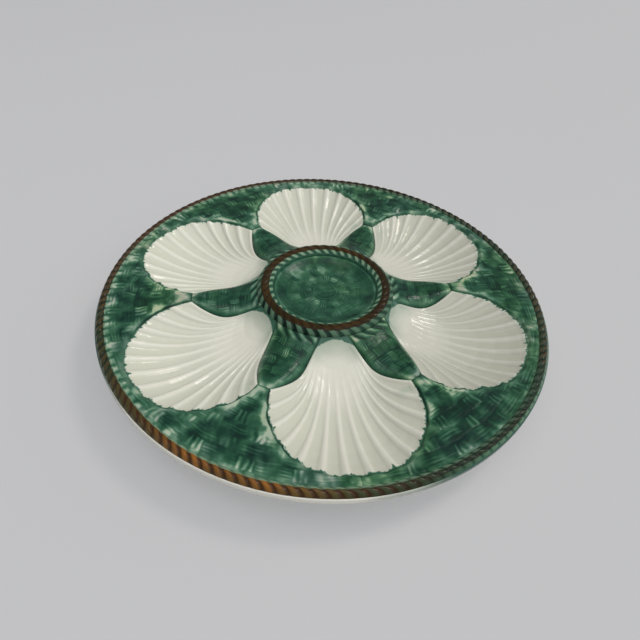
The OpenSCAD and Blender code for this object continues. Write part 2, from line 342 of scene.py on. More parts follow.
def weave(along, row):
    """Basket weave: groups of three upright stakes, and blocks of four strands between.

    along counts stakes, row counts rows. Gives the form under the glaze, the sharper
    relief that shows through it, the fine threads that edge the rows, 0 to 1 each, and
    how much paler or darker each block is, -1 to 1.
    """
    j = np.floor(row)
    y = row - j
    x = along + j / 2
    block = np.sin(np.floor(x) * 12.99 + j * 78.23) * 43758.5
    tone = 2 * (block - np.floor(block)) - 1
    x = x - np.floor(x + 0.5)
    aside = np.abs(x)
    q = x / STAKE_SHARE * 1.2
    ends = ease(y / 0.16) * ease((1 - y) / 0.16)
    stake = (0.30 + 0.65 * (0.5 + 0.5 * np.cos(2 * math.pi * q))) * ends
    in_stake = ease((STAKE_SHARE + 0.05 - aside) / 0.06)
    x2 = np.clip((aside - STAKE_SHARE) / (0.5 - STAKE_SHARE), 0, 1)
    y2 = 0.5 + (y - 0.5) * (1 + 0.18 * (1 - x2) ** 2)
    pillow = np.sin(math.pi / 2 * np.clip(x2 * 1.6, 0, 1)) ** 0.7
    strands = np.sin(4 * math.pi * np.clip(y2, 0, 1)) ** 2
    row_round = np.clip(np.sin(math.pi * np.clip(y, 0, 1)), 0, 1) ** 0.75
    thread = bump(y, 0.075) + bump(y - 1, 0.075)
    form = mix(pillow * (0.62 + 0.22 * strands) * row_round, 0.55 * ends + 0.25 * stake, in_stake)
    relief = mix(pillow * (0.35 + 0.5 * strands) * row_round, stake * 0.95, in_stake)
    return form, relief, thread, tone * pillow * (1 - in_stake)


# Meshes

def in_scene(name, data):
    """A new object in the scene."""
    thing = bpy.data.objects.new(name, data)
    bpy.context.scene.collection.objects.link(thing)
    return thing


def new_object(name, points, faces, layers, sharp):
    """A closed mesh in metres, smooth but for edges sharper than the angle given."""
    mesh = bpy.data.meshes.new(name)
    mesh.from_pydata((points * MM).tolist(), [], faces)
    for layer, values in layers.items():
        spot = mesh.attributes.new(layer, "FLOAT", "POINT")
        spot.data.foreach_set("value", np.ascontiguousarray(values, dtype=np.float32))
    mesh.shade_smooth()
    mesh.set_sharp_from_angle(angle=math.radians(sharp))
    mesh.validate()
    return in_scene(name, mesh)


def grid_quads(rows, columns):
    """Quads of a grid of points, facing up where rows run outward and columns turn left."""
    j, i = np.meshgrid(np.arange(rows - 1), np.arange(columns - 1), indexing="ij")
    a = j * columns + i
    return np.stack([a, a + columns, a + columns + 1, a + 1], -1).reshape(-1, 4).tolist()


def ring_quads(inner, outer):
    """Quads between two closed rings of points."""
    return np.stack([inner, outer, np.roll(outer, -1), np.roll(inner, -1)], -1).tolist()


def relief_piece(name, x, y, z, floor, layers):
    """Closed solid under a grid of heights, with walls down to the floor given."""
    rows, columns = x.shape
    index = np.arange(rows * columns).reshape(rows, columns)
    edge = np.concatenate([index[0, :], index[1:, -1], index[-1, -2::-1], index[-2:0:-1, 0]])
    top = np.stack([x.ravel(), y.ravel(), z.ravel()], -1)
    wall = np.stack([x.ravel()[edge], y.ravel()[edge], floor.ravel()[edge]], -1)
    middle = wall.mean(axis=0)
    middle[2] = under_h(math.hypot(middle[0], middle[1]))
    foot = len(top) + np.arange(len(edge))
    faces = grid_quads(rows, columns)
    faces += np.stack([edge, np.roll(edge, -1), np.roll(foot, -1), foot], -1).tolist()
    faces += np.stack([foot, np.roll(foot, -1), np.full(len(foot), foot[-1] + 1)], -1).tolist()
    values = {n: np.concatenate([v.ravel(), v.ravel()[edge], [v.mean()]])
              for n, v in layers.items()}
    return facing_out(new_object(name, np.vstack([top, wall, middle]), faces, values, 48))


def facing_out(thing):
    """Turns every face of a closed mesh outward."""
    mesh = thing.data
    points = np.empty(len(mesh.vertices) * 3)
    mesh.vertices.foreach_get("co", points)
    points = points.reshape(-1, 3)
    mesh.calc_loop_triangles()
    corners = np.empty(len(mesh.loop_triangles) * 3, dtype=int)
    mesh.loop_triangles.foreach_get("vertices", corners)
    a, b, c = (points[corners.reshape(-1, 3)[:, n]] for n in range(3))
    if np.einsum("ij,ij->i", a, np.cross(b, c)).sum() < 0:
        mesh.flip_normals()
    return thing


def rounded(profile):
    """A profile with its corners rounded by short curves, but for those on the axis."""
    radius, steps = 0.9, 5
    points = [np.array(p, dtype=float) for p in profile]
    line = []
    for n, p in enumerate(points):
        before, after = points[n - 1], points[(n + 1) % len(points)]
        if p[0] == 0:
            line.append(p)
            continue
        reach = min(radius, np.linalg.norm(p - before) / 2.2, np.linalg.norm(after - p) / 2.2)
        a = p + (before - p) / np.linalg.norm(before - p) * reach
        b = p + (after - p) / np.linalg.norm(after - p) * reach
        for t in np.linspace(0, 1, steps):
            line.append(a * (1 - t) ** 2 + p * 2 * t * (1 - t) + b * t * t)
    return np.array(line)


def turned_piece(name, line, turns):
    """Closed solid turned from a profile that starts and ends on the axis, or closes."""
    on_axis = line[0][0] == 0
    inner = line[1:-1] if on_axis else line
    count = len(inner)
    angles = np.linspace(0, 2 * math.pi, turns, endpoint=False)
    r, a = np.meshgrid(inner[:, 0], angles)
    z = np.broadcast_to(inner[:, 1], r.shape)
    points = np.stack([r * np.cos(a), r * np.sin(a), z], -1).reshape(-1, 3)
    faces = []
    for n in range(turns):
        m = (n + 1) % turns
        span = count - 1 if on_axis else count
        for i in range(span):
            j = (i + 1) % count
            faces.append([n * count + i, n * count + j, m * count + j, m * count + i])
    if on_axis:
        ends = len(points)
        points = np.vstack([points, [0, 0, line[0][1]], [0, 0, line[-1][1]]])
        for n in range(turns):
            m = (n + 1) % turns
            faces.append([ends, n * count, m * count])
            faces.append([ends + 1, m * count + count - 1, n * count + count - 1])
    return facing_out(new_object(name, points, faces, {}, 50))


# The six scallop wells

def shell_well(k):
    """The bowl of a well; its layers tell the glaze how far each place is from its edges."""
    flute_steps, edge_steps, flank_steps = 22, 420, 150
    columns = FLUTES * flute_steps + 1
    share = np.linspace(0, 1, 132)
    rows = mix((1 - np.cos(math.pi * share)) / 2, share, 0.55)
    f, t = np.meshgrid(np.linspace(-1, 1, columns), rows)
    u, v = well_plan(k, f, t)
    edge = np.linspace(-1, 1, edge_steps)
    outer = from_line(u, v, *well_plan(k, edge, np.ones(edge_steps)))
    out = np.linspace(0.04, 1, flank_steps)
    flanks = [from_line(u, v, *well_plan(k, np.full(flank_steps, end), out)) for end in (-1.0, 1.0)]
    inner = np.hypot(u, v) - INNER_R
    rim = np.minimum(outer, np.minimum(*flanks))
    lip = LIP_H * bump(rim - 1.3, 0.8) - LIP_GROOVE_H * bump(rim, 0.35)
    lip = lip * ease((inner - 1.0) / 4)
    swell = WELL_SWELL_H * wander(3 * f + 2.3 * t, 70 + k, (1, 2, 3)) * ease(rim / 6)
    z = well_h(f, t, outer) + lip + swell
    ear = np.minimum(np.hypot(u - EAR_U, v - EAR_V), np.hypot(u - EAR_U, v + EAR_V))
    x, y = placed(k, u, v)
    streak = np.maximum(0, wander(70 * f, 80 + k, (1, 1.7, 2.9, 4.3))) ** 1.5
    covered = 0.5 + 1.9 * streak + 0.5 * np.maximum(0, wander(17 * f, 85 + k))
    layers = {
        "rim": np.clip(np.minimum(rim, outer - covered * (1 - f ** 6)), -3, 12),
        "throat": np.clip(inner - 0.045 * np.minimum(v ** 2, 90), -5, 20),
        "ear": np.clip(ear, 0, 30),
        # where the flutes are hollow, for the glaze to darken them, partly pooled glaze and partly
        # painted shade
        "valley": trough(f) * ease((t - 0.2) / 0.5),
        "margin": np.clip(outer, 0, 12),
        # painted light and shade: each well's white is painted lighter or darker as a whole
        "pale": np.full(z.shape, WELL_PAINTED_LIGHT[k]),
    }
    return relief_piece("scallop_%d" % (k + 1), x, y, z, under_h(np.hypot(x, y)), layers)


# The six tongues of basket work between the wells

def lobe_weave(k, u, v):
    """The weave of lobe k, whose stakes run outward, slightly uneven."""
    along = v / LOBE_STAKE_PITCH + 0.045 * ripple(u, v, 170 + k, 5.0)
    row = (u - LOBE_ROW_START) / LOBE_ROW_PITCH + 0.06 * ripple(u, v, 180 + k, 6.0)
    return weave(along + 0.5 * (k % 2), row)


def basket_lobe(k):
    """The tongue between wells k and k + 1, from the centre rope out to the neck."""
    rows, columns = 110, 81
    share = np.linspace(0, 1, rows)
    out = mix((1 - np.cos(math.pi * share)) / 2, share, 0.7)
    w, t = np.meshgrid(np.linspace(0, 1, columns), out)
    au, av = well_plan(k, np.ones_like(t), t)
    r = np.hypot(au, av)
    half = HALF_TURN - np.arctan2(av, au)
    turn = half * (2 * w - 1)
    u, v = r * np.cos(turn), r * np.sin(turn)
    across = np.abs(2 * w - 1)
    crown = 1 - across ** 3.6
    ends = mix(ROOT_H, EAR_H, t)
    top = mix(ends, LOBE_MID_H, np.sin(math.pi * t))
    z = mix(flank_h(t), top, crown)
    seam = half * r * (1 - across)
    form, relief, thread, tone = lobe_weave(k, u, v)
    on_top = ease((seam - 1.2) / 2.0) * ease((r - 41.0) / 2) * ease((NECK_R - 3.2 - r) / 1.8)
    z = z + LOBE_WEAVE_H * (form - 0.4) * on_top
    z = z - LOBE_GROOVE_H * bump(seam, 0.7) * ease((t - 0.04) / 0.05)
    z = z - NECK_GROOVE_H * bump(r - NECK_R + 0.6, 1.1)
    tail = ease((42.3 - r) / 2.2) * ease((seam - 0.4) / 1.2)
    strand = strand_wave(np.degrees(turn) + FIRST_WELL + (k + 0.5) * WELL_TURN, r)
    z = z + tail * (0.45 - TAIL_STRAND_H * strand) * ease((r - INNER_R) / 0.5)
    x, y = placed(k + 0.5, u, v)
    show = np.clip(0.66 + 0.8 * ripple(u, v, 200 + k, 7.0), 0.15, 1.2)
    drawn = np.clip(0.30 + 0.9 * ripple(u, v, 215 + k, 8.0), 0, 1)
    thin = 0.29 + 0.15 * ripple(u, v, 230 + k, 8.0) + 0.05 * ripple(u, v, 260 + k, 2.6)
    thin = thin + on_top * (show * (0.60 * (relief - 0.42) + 0.12 * tone) + 0.22 * drawn * thread)
    thin = thin + 0.30 * bump(seam - 1.9, 1.5) - 0.18 * bump(seam, 0.5)
    thin = thin + 0.32 * ease((r - NECK_R + 5.0) / 3.5) + tail * (0.45 - 0.95 * strand)
    layers = {"thin": np.clip(thin, 0, 1)}
    return relief_piece("tongue_%d" % (k + 1), x, y, z, under_h(np.hypot(x, y)), layers)


def strand_wave(angle, r):
    """0 on a strand of the centre rope and 1 in the groove between two, on its slant."""
    mid_r = WELL_ROPE_OUT - WELL_ROPE_W / 2
    slant = math.degrees(WELL_ROPE_W / mid_r) / 2
    phase = (angle - slant * (r - mid_r) / (WELL_ROPE_W / 2)) * WELL_STRANDS / 360
    return 1 - np.abs(np.sin(math.pi * phase))


# The six panels of basket ground between the wells and the rim

def bead_share(turn):
    """How clearly the beads beside the rim rope stand out, by the turn in degrees."""
    marks = [-180, -145, -120, -60, -30, 20, 60, 110, 180]
    shares = [1.0, 1.0, 0.25, 0.45, 0.25, 0.25, 0.55, 0.7, 1.0]
    return np.interp((turn + 180) % 360 - 180, marks, shares)


def ground_panel(k):
    """From the axis of well k to the axis of the next, out to the rope round the rim."""
    side, neck, rows = 176, 26, 118
    f = np.linspace(0, 1, side)
    au, av = fan_point(k, f, f)
    bu, bv = fan_point((k + 1) % WELLS, -f[::-1], -f[::-1])
    ax, ay = turned(au, av, -HALF_TURN)
    bx, by = turned(bu, bv, HALF_TURN)
    s = np.linspace(0, 1, neck + 2)[1:-1]
    nx, ny = mix(ax[-1], bx[0], s), mix(ay[-1], by[0], s)
    inx, iny = np.concatenate([ax, nx, bx]), np.concatenate([ay, ny, by])
    smooth_u = FAN_U + FAN_R * np.cos(f * FAN_SWEEP)
    turn = np.arctan2(FAN_R * np.sin(f * FAN_SWEEP), smooth_u) - HALF_TURN
    outer = np.concatenate([turn, mix(turn[-1], -turn[-1], s), -turn[::-1]])
    rim_h = well_h(f, np.ones(side), np.zeros(side)) - 0.32
    far_rim_h = well_h(-f[::-1], np.ones(side), np.zeros(side)) - 0.32
    ends = np.concatenate([rim_h, np.full(neck, EAR_H - 0.1), far_rim_h])
    q = np.linspace(0, 1, rows)[:, None]
    q = mix(q, q ** 2, 0.25)
    x, y = mix(inx, STEP_R * np.cos(outer), q), mix(iny, STEP_R * np.sin(outer), q)
    r, a = np.hypot(x, y), np.degrees(np.arctan2(y, x))
    base = NECK_H + (r - NECK_R) / (STEP_R - NECK_R) * (GROUND_H - NECK_H)
    gap = np.full(x.shape, 99.0)
    for turn_back, well in ((HALF_TURN, k), (-HALF_TURN, (k + 1) % WELLS)):
        u, v = turned(x, y, turn_back)
        g = np.clip(np.arctan2(v, u - FAN_U) / FAN_SWEEP, -1, 1)
        gap = np.minimum(gap, np.hypot(u - FAN_U, v) - FAN_R + edge_inside(well, g))
    gap = np.maximum(gap, 0)
    gap = np.minimum(gap, np.where(np.abs(a) < 3, np.maximum(r - NECK_R, 0), 99))
    along = (a + 0.40 * ripple(x, y, 270 + k, 7.0)) / STAKE_TURN
    row = (r - ROW_START + 0.35 * ripple(x, y, 280 + k, 8.0)) / ROW_PITCH
    form, relief, thread, tone = weave(along, row)
    textured = ease((gap - 1.1) / 1.5) * ease((STEP_R - 0.4 - r) / 1.2)
    neck_part = ease((ROW_START + ROW_PITCH + 0.4 - r) / 0.8)
    textured = textured * (1 - 0.55 * neck_part)
    z = base + GROUND_WEAVE_H * (form - 0.45) * textured
    z = z + GROUND_SWELL_H * wander(np.radians(a) * 9, 90 + k, (1, 2, 3)) * ease(gap / 5)
    z = mix(z, np.broadcast_to(ends, z.shape), ease(1 - gap / 1.35))
    pool = ease(gap / 8.5) * ease((STEP_R - r + 1.5) / 9.0) * ease((r - ROW_START - 5) / 5)
    show = np.clip(0.62 + 0.9 * ripple(x, y, 300 + k, 9.0), 0.10, 1.25)
    drawn = np.clip(0.35 + 0.9 * ripple(x, y, 315 + k, 12.0), 0, 1)
    uneven = 0.20 * ripple(x, y, 330 + k, 6.5) + 0.06 * ripple(x, y, 360 + k, 2.4)
    thin = PANEL_THIN[k] - 0.38 * pool + uneven
    thin = thin + textured * (show * (0.56 * (relief - 0.42) + 0.16 * tone) + 0.25 * drawn * thread)
    border = ease((4.6 - gap + 1.2 * ripple(x, y, 450 + k, 4.0)) / 3.0) * ease((gap - 0.5) / 0.9)
    thin = thin + 0.24 * border * ease((99 - r) / 9) * ease((r - NECK_R - 1) / 8)
    thin = thin + 0.12 * neck_part * ease((gap - 1.0) / 1.5)
    patch = bump(a - PALE_TURN[k], 3.2) * bump(r - PALE_R[k], 4.2)
    by_edge = 0.8 * bump(gap - 2.2, 1.2) * bump(a - 6, 3.5) * bump(r - 92, 6)
    thin = thin + PALE_SHARE[k] * (patch + by_edge) * (0.75 + 0.4 * ripple(x, y, 390 + k, 3.0))
    pooled = np.where(a > 0, POOL_RIGHT[k], POOL_LEFT[k])
    pooled = pooled * (0.75 + 0.5 * wander(r / 4.0, 420 + k, (1, 2, 3)))
    thin = thin - 0.80 * pooled * bump(gap - 0.30, 0.45) * ease((107 - r) / 9)
    plate_turn = a + FIRST_WELL + (k + 0.5) * WELL_TURN
    by_rope = ease((r - STEP_R + 2.4) / 0.9)
    bead = np.abs(np.sin(math.pi * RIM_STRANDS * (plate_turn + RIM_LEAN) / 360)) ** 0.8 * by_rope
    z = z + BEAD_H * bead
    thin = thin + bead_share(plate_turn) * (0.42 * bead - 0.16 * by_rope)
    px, py = placed(k + 0.5, x, y)
    layers = {"thin": np.clip(thin, 0, 1)}
    return relief_piece("basket_ground_%d" % (k + 1), px, py, z, under_h(r), layers)


# The dish in the middle

def centre_dish():
    """Sunk dish with a basket weave of rings round a plain woven hub."""
    turns, rings = 560, 118
    r = np.linspace(0.25, DISH_R + 1.5, rings)[:, None]
    a = np.linspace(0, 2 * math.pi, turns, endpoint=False)[None, :]
    r, a = np.broadcast_arrays(r, a)
    depth = WELL_ROPE_SEAT - DISH_FLOOR_H
    cove = ease((r - DISH_MID_R + depth) / (DISH_R - DISH_MID_R + depth)) ** 1.6
    base = np.where(r > DISH_R, WELL_ROPE_SEAT, DISH_FLOOR_H + depth * cove)
    x, y = r * np.cos(a), r * np.sin(a)
    along = a / (2 * math.pi) * DISH_RING_STAKES + 0.25
    row = (r - DISH_RING_START) / DISH_RING_PITCH
    ring_form, ring_relief, ring_thread, ring_tone = weave(along, row)
    hub_form, hub_relief = weave(x / HUB_STAKE_PITCH, y / HUB_ROW_PITCH + 0.5)[:2]
    from_lines = r - DISH_LINES_START
    in_ring = ease((r - DISH_RING_START - 0.2) / 0.6) * ease((-0.4 - from_lines) / 0.6)
    in_hub = ease((DISH_RING_START - 1.4 - r) / 0.6)
    lines = 0.5 + 0.5 * np.cos(2 * math.pi * from_lines / DISH_LINE_PITCH)
    in_lines = ease(from_lines / 0.4) * ease((DISH_MID_R + 1.4 - r) / 0.6)
    ring = bump(r - DISH_RING_START + 0.6, 0.5) + bump(from_lines + 0.2, 0.5)
    form = ring_form * in_ring + 0.6 * hub_form * in_hub + 0.25 * lines * in_lines + 0.6 * ring
    z = base + DISH_WEAVE_H * (form - 0.35)
    show = np.clip(0.6 + 0.5 * ripple(x, y, 500, 6.0), 0.15, 1)
    show = show * mix(1, 0.5, ease(r - 13.5))
    relief = ring_relief * in_ring + 0.5 * hub_relief * in_hub + 0.3 * lines * in_lines + 0.5 * ring
    thin = 0.40 + 0.12 * ripple(x, y, 510, 8.0) + 0.05 * ripple(x, y, 520, 3.0)
    thin = thin + show * (0.60 * (relief - 0.35) + (0.14 * ring_thread + 0.10 * ring_tone) * in_ring)
    uneven = 0.8 * ripple(x, y, 530, 4.0)
    for turn, out, size, share in DISH_PALE:
        patch_x, patch_y = turned(out, 0, math.radians(turn))
        aside = np.hypot(x - patch_x, y - patch_y)
        thin = thin + share * ease((size - aside + uneven) / (0.7 * size))
    thin = thin - 0.04 * bump(r - 24.0, 2.4) + 0.22 * bump(r - DISH_R + 1.0, 0.55)
    points = np.stack([x.ravel(), y.ravel(), z.ravel()], -1)
    count = len(points)
    index = np.arange(count).reshape(rings, turns)
    faces = []
    for j in range(rings - 1):
        faces += ring_quads(index[j], index[j + 1])
    low_h = DISH_FLOOR_H - 3.0
    wall = points[index[-1]].copy()
    wall[:, 2] = low_h
    base_ring = count + np.arange(turns)
    faces += ring_quads(index[-1], base_ring)
    faces += np.stack([base_ring, np.full(turns, count + turns), np.roll(base_ring, -1)], -1).tolist()
    faces += np.stack([np.roll(index[0], -1), np.full(turns, count + turns + 1), index[0]], -1).tolist()
    ends = [[0, 0, low_h], [0, 0, z[0].mean()]]
    thin = np.concatenate([thin.ravel(), thin[-1], [0, thin[0].mean()]])
    layers = {"thin": np.clip(thin, 0, 1)}
    return facing_out(new_object("centre_dish", np.vstack([points, wall, ends]), faces, layers, 60))


# The turned skin of the outer wall and the underside, and the foot ring

def plate_back():
    """A skin from the hollow under the centre, out past the foot and up the outer wall."""
    skin, lap = 1.3, 0.2
    hollow_top_h, hollow_top_r = 13.8, 19.2
    hollow_mid_h, hollow_mid_r = 7.9, 24.0
    hollow_r = 26.0
    top_h = RIM_SEAT_H + lap
    line = rounded([
        (0, hollow_top_h), (hollow_top_r, hollow_top_h), (hollow_mid_r, hollow_mid_h),
        (hollow_r, FOOT_H), (FOOT_R + FOOT_CLEAR, FOOT_H), (UNDER_R, WALL_LOW_H - UNDER_RISE),
        (PLATE_R, WALL_LOW_H), (PLATE_R, top_h), (PLATE_R - 2.2, top_h),
        (PLATE_R - 3.0, WALL_LOW_H + 1.4), (FOOT_R + 3.5, FOOT_H + skin),
        (hollow_r + 1.5, FOOT_H + skin), (hollow_mid_r + skin, hollow_mid_h + 0.9),
        (hollow_top_r + 0.8, hollow_top_h + skin), (0, hollow_top_h + skin)])
    return turned_piece("plate_back", line, 288)


def foot_ring():
    """The ring on which the plate stands, a little narrower where it stands."""
    top_w, flare, lap, step = 6.4, 1.2, 0.4, 0.2
    line = rounded([
        (FOOT_R - top_w, FOOT_H + lap), (FOOT_R - top_w + step, FOOT_H - lap),
        (FOOT_R - top_w + flare, 0), (FOOT_R - flare, 0), (FOOT_R - step, FOOT_H - lap),
        (FOOT_R, FOOT_H + lap)])
    return turned_piece("foot_ring_glazed", line, 240)


# Node trees

class Tree:
    """Adds nodes to a node tree; a value given for a socket is set or linked."""

    def __init__(self, tree):
        self.tree = tree

    def add(self, kind, *inputs, **settings):
        node = self.tree.nodes.new(kind)
        for key, value in settings.items():
            setattr(node, key, value)
        for socket, value in zip(node.inputs, inputs):
            self.give(socket, value)
        return node

    def give(self, socket, value):
        if isinstance(value, bpy.types.NodeSocket):
            self.tree.links.new(value, socket)
        else:
            socket.default_value = value

    def math(self, operation, *inputs):
        return self.add("ShaderNodeMath", *inputs, operation=operation).outputs[0]

    def plus(self, a, b):
        return self.math("ADD", a, b)

    def times(self, a, b):
        return self.math("MULTIPLY", a, b)


def sockets(tree, side, kind, *names):
    """Gives a node tree named inputs or outputs."""
    for name in names:
        tree.interface.new_socket(name=name, in_out=side, socket_type="NodeSocket" + kind)


# Geometry Nodes for the two twisted ropes

def rope_tree():
    """Node tree of a twisted rope laid in a ring, from a plain grid bent round."""
    tree = bpy.data.node_groups.new("twisted_rope", "GeometryNodeTree")
    sockets(tree, "INPUT", "Float", "Inner Radius", "Width", "Height", "Seat", "Groove", "Slant")
    sockets(tree, "INPUT", "Int", "Strands", "Strand Steps", "Ring Steps", "Seed")
    sockets(tree, "INPUT", "Material", "Glaze")
    sockets(tree, "OUTPUT", "Geometry", "Geometry")
    t = Tree(tree)
    given = t.add("NodeGroupInput").outputs
    strands = given["Strands"]
    around = t.times(strands, given["Strand Steps"])
    ring = given["Ring Steps"]
    around_points, ring_points = t.plus(around, 1.0), t.plus(ring, 1.0)
    grid = t.add("GeometryNodeMeshGrid", 1.0, 1.0, around_points, ring_points)
    spot = t.add("ShaderNodeSeparateXYZ", t.add("GeometryNodeInputPosition").outputs[0]).outputs
    along = t.plus(spot[0], 0.5)
    section = t.plus(spot[1], 0.5)
    angle = t.times(section, 2 * math.pi)
    x = t.math("COSINE", angle)
    rise = t.math("SINE", angle)
    half_w = t.math("DIVIDE", given["Width"], 2.0)
    mid_r = t.plus(given["Inner Radius"], half_w)
    wave = t.math("SINE", t.times(t.times(along, strands), math.pi))
    crest = t.math("POWER", t.math("ABSOLUTE", wave), 0.95)
    dip = t.times(given["Groove"], t.math("SUBTRACT", 1.0, crest))
    full = t.math("POWER", t.math("MAXIMUM", rise, 0.0), 1.15)
    slant = t.times(given["Slant"], t.math("DIVIDE", half_w, mid_r))
    turn = t.plus(t.times(along, 2 * math.pi), t.times(slant, x))
    side_dip = t.times(t.times(dip, 0.8), full)
    radius = t.plus(mid_r, t.times(x, t.math("SUBTRACT", half_w, side_dip)))
    noise = t.add("ShaderNodeTexNoise", noise_dimensions="4D")
    ring_spot = t.add("ShaderNodeCombineXYZ", t.math("COSINE", turn), t.math("SINE", turn), 0.0)
    t.give(noise.inputs["Vector"], ring_spot.outputs[0])
    t.give(noise.inputs["W"], given["Seed"])
    t.give(noise.inputs["Scale"], 14.0)
    uneven = t.math("MULTIPLY_ADD", noise.outputs[0], 0.10, 0.93)
    top = t.times(t.math("SUBTRACT", given["Height"], dip), uneven)
    sunk = t.times(t.math("MINIMUM", rise, 0.0), t.times(given["Height"], 0.25))
    lift = t.plus(t.times(full, top), sunk)
    height = t.plus(given["Seat"], lift)
    place = t.add("ShaderNodeCombineXYZ", t.times(radius, t.math("COSINE", turn)),
                  t.times(radius, t.math("SINE", turn)), height)
    kept = grid.outputs[0]
    for layer_name, value in (("across", x), ("crest", crest)):
        store = t.add("GeometryNodeStoreNamedAttribute", data_type="FLOAT", domain="POINT")
        t.give(store.inputs["Geometry"], kept)
        t.give(store.inputs["Name"], layer_name)
        t.give(store.inputs["Value"], value)
        kept = store.outputs[0]
    moved = t.add("GeometryNodeSetPosition", kept)
    t.give(moved.inputs["Position"], place.outputs[0])
    closed = t.add("GeometryNodeMergeByDistance", moved.outputs[0])
    t.give(closed.inputs["Distance"], 0.00001)
    smooth = t.add("GeometryNodeSetShadeSmooth", closed.outputs[0])
    real = t.add("GeometryNodeRealizeInstances", smooth.outputs[0])
    finished = t.add("GeometryNodeSetMaterial", real.outputs[0])
    t.give(finished.inputs["Material"], given["Glaze"])
    t.add("NodeGroupOutput", finished.outputs[0])
    return tree


def rope(name, tree, glaze, sizes):
    """A finished rope: the tree's result as a plain mesh."""
    blank = in_scene(name + "_blank", bpy.data.meshes.new(name + "_blank"))
    maker = blank.modifiers.new("rope", "NODES")
    maker.node_group = tree
    for item in tree.interface.items_tree:
        if item.in_out == "INPUT":
            maker[item.identifier] = glaze if item.name == "Glaze" else sizes[item.name]
    bpy.context.view_layer.update()
    made = blank.evaluated_get(bpy.context.evaluated_depsgraph_get())
    mesh = bpy.data.meshes.new_from_object(made)
    mesh.name = name
    thing = in_scene(name, mesh)
    blank.modifiers.remove(maker)
    bpy.data.objects.remove(blank)
    return facing_out(thing)


# Glazes

def new_material(name):
    """A material with one Principled surface; gives it, its tree and the surface."""
    material = bpy.data.materials.new(name)
    material.use_nodes = True
    material.node_tree.nodes.clear()
    t = Tree(material.node_tree)
    surface = t.add("ShaderNodeBsdfPrincipled")
    surface.inputs["IOR"].default_value = 1.45
    t.add("ShaderNodeOutputMaterial", surface.outputs[0])
    return material, t, surface


def layer(t, name):
    """A value that the piece's own mesh carries."""
    return t.add("ShaderNodeAttribute", attribute_name=name).outputs["Fac"]


def ramp(t, value, stops):
    """The colour at a value, from stops of place and colour."""
    node = t.add("ShaderNodeValToRGB", value)
    marks = node.color_ramp.elements
    while len(marks) < len(stops):
        marks.new(0.5)
    for mark, (place, colour) in zip(marks, stops):
        mark.position = place
        mark.color = (*colour, 1)
    return node.outputs[0]


def between(t, value, start, end):
    """Smoothly 0 where a value is at start and 1 where it is at end."""
    node = t.add("ShaderNodeMapRange", value, start, end, 0.0, 1.0, interpolation_type="SMOOTHSTEP")
    return node.outputs[0]


def tint(t, factor, under, over):
    """A colour laid over another, as strongly as the factor says."""
    node = t.add("ShaderNodeMix", data_type="RGBA")
    t.give(node.inputs[0], factor)
    t.give(node.inputs[6], under if isinstance(under, bpy.types.NodeSocket) else (*under, 1))
    t.give(node.inputs[7], over if isinstance(over, bpy.types.NodeSocket) else (*over, 1))
    return node.outputs[2]


def shade(t, factor, colour, by):
    """A colour multiplied by another, as strongly as the factor says."""
    node = t.add("ShaderNodeMix", data_type="RGBA", blend_type="MULTIPLY")
    t.give(node.inputs[0], factor)
    t.give(node.inputs[6], colour)
    t.give(node.inputs[7], (*by, 1))
    return node.outputs[2]


def by_turn(t, share, stops):
    """A value that changes round the plate."""
    return ramp(t, share, [(place, (value, value, value)) for place, value in stops])


def new_effect(name, *inputs):
    """A shader node group for several glazes; gives its tree and its inputs."""
    tree = bpy.data.node_groups.new(name, "ShaderNodeTree")
    sockets(tree, "INPUT", "Float", *inputs)
    t = Tree(tree)
    return t, t.add("NodeGroupInput").outputs


def effect(t, name, *values):
    """Places the node group of that name in a material; gives its outputs."""
    return t.add("ShaderNodeGroup", *values, node_tree=bpy.data.node_groups[name]).outputs


def object_spot(t):
    return t.add("ShaderNodeTexCoord").outputs["Object"]


def make_mottle():
    """Uneven thickness of a poured glaze, in cells of two sizes given per metre."""
    t, given = new_effect("glaze_mottle", "Large", "Small")
    sockets(t.tree, "OUTPUT", "Float", "Wide", "Fine")
    out = t.add("NodeGroupOutput")
    for n, (scale, detail) in enumerate(((given["Large"], 3.0), (given["Small"], 4.0))):
        noise = t.add("ShaderNodeTexNoise", object_spot(t))
        t.give(noise.inputs["Scale"], scale)
        t.give(noise.inputs["Detail"], detail)
        t.give(out.inputs[n], noise.outputs[0])


def make_place():
    """Where on the plate a glaze lies.

    Share is the place round it: 0 at -180 degrees, 0.25 at the front and 0.5 at the right.
    Green is where green ran down its outer side, 0 to 1; the rest stays cream.
    """
    t, given = new_effect("glaze_place", "Sway")
    sockets(t.tree, "OUTPUT", "Float", "Share", "Green")
    spot = t.add("ShaderNodeSeparateXYZ", object_spot(t)).outputs
    share = t.math("MULTIPLY_ADD", t.math("ARCTAN2", spot[1], spot[0]), 0.5 / math.pi, 0.5)
    green = by_turn(t, t.math("MULTIPLY_ADD", given["Sway"], 0.05, share), (
        (0.085, 1), (0.130, 0), (0.275, 0), (0.325, 1), (0.675, 1), (0.775, 0.3), (0.955, 0.3),
        (1.000, 0.8)))
    t.add("NodeGroupOutput", share, green)


def make_skin():
    """A glaze's uneven gloss and the soft swelling of its surface."""
    t, given = new_effect("glaze_skin", "Fine", "Rough", "Height", "Depth")
    sockets(t.tree, "OUTPUT", "Float", "Roughness")
    sockets(t.tree, "OUTPUT", "Vector", "Normal")
    swell = t.add("ShaderNodeBump")
    swell.inputs["Strength"].default_value = 1.0
    t.give(swell.inputs["Distance"], given["Depth"])
    t.give(swell.inputs["Height"], given["Height"])
    gloss = t.math("MULTIPLY_ADD", given["Fine"], 0.10, given["Rough"])
    t.add("NodeGroupOutput", gloss, swell.outputs[0])


def make_strand():
    """Place on a rope's strand: Across it with a wavering line, and how near its Crest."""
    t, given = new_effect("rope_strand", "Fine")
    sockets(t.tree, "OUTPUT", "Float", "Across", "Crest")
    waver = t.math("MULTIPLY_ADD", given["Fine"], 0.3, -0.15)
    t.add("NodeGroupOutput", t.plus(layer(t, "across"), waver), layer(t, "crest"))


